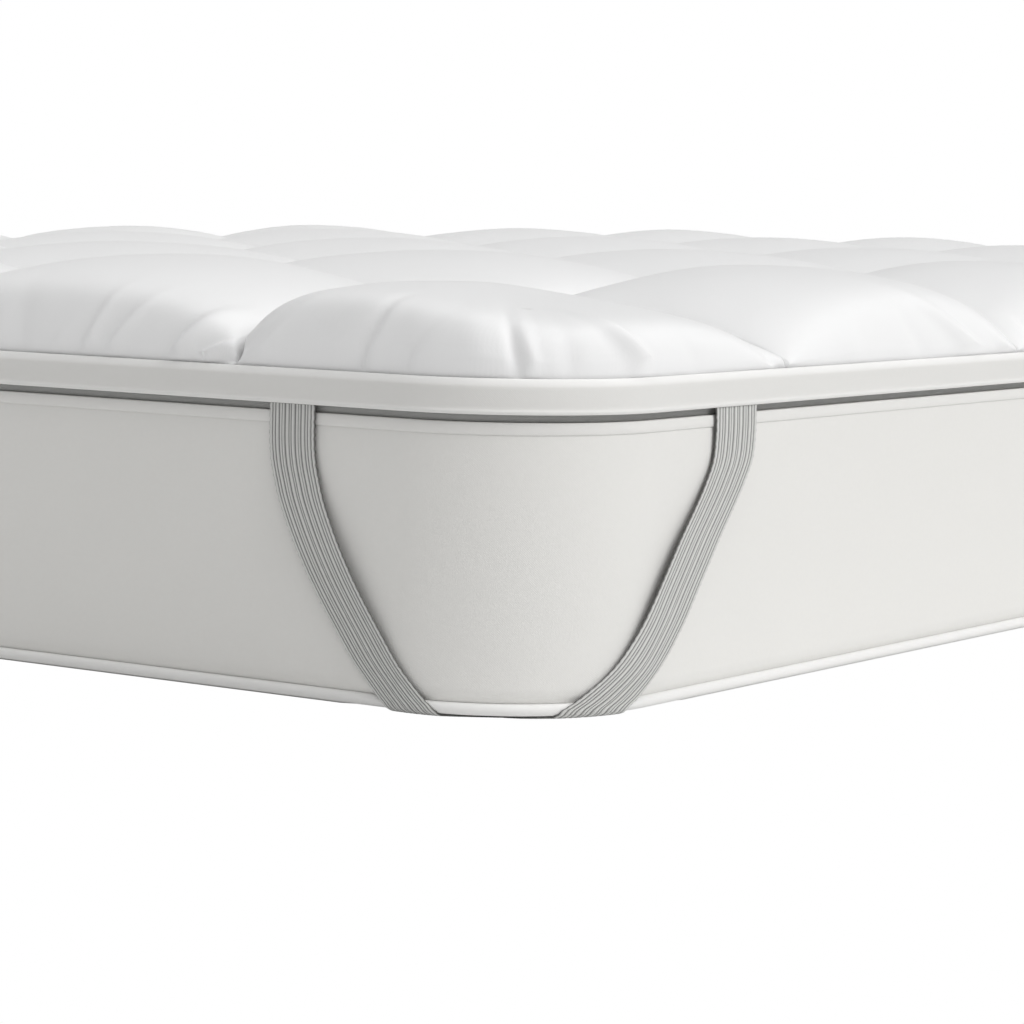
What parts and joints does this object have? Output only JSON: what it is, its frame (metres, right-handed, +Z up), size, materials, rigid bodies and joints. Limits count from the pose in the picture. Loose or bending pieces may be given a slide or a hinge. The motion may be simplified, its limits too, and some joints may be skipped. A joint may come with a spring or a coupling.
{
  "type": "mattress topper on a mattress",
  "caption": "Box-quilted mattress topper with a border band and ribbed elastic corner straps, fitted over a plain mattress with taped edges.",
  "frame": {"origin": "on the surface it rests on, under the middle of the mattress", "axes": "+X along the short side, +Y along the long side, +Z up"},
  "size_m": [1.5188, 2.0188, 0.2899],
  "materials": {
    "quilted_cloth": "soft brushed microfibre, matt",
    "band_cloth": "smooth woven cloth, matt",
    "underside_cloth": "plain woven backing, matt",
    "ribbed_elastic": "ribbed knitted elastic, matt",
    "mattress_cloth": "plain knitted ticking, matt",
    "edge_tape": "woven binding tape, slight sheen"
  },
  "bodies": {
    "root": {"quilted_pad": "quilted_cloth", "border_band": "band_cloth", "underside_cloth": "underside_cloth", "corner_strap_1": "ribbed_elastic", "corner_strap_2": "ribbed_elastic", "corner_strap_3": "ribbed_elastic", "corner_strap_4": "ribbed_elastic", "mattress": "mattress_cloth", "mattress_top_tape": "edge_tape", "mattress_bottom_tape": "edge_tape"}
  },
  "joints": []
}
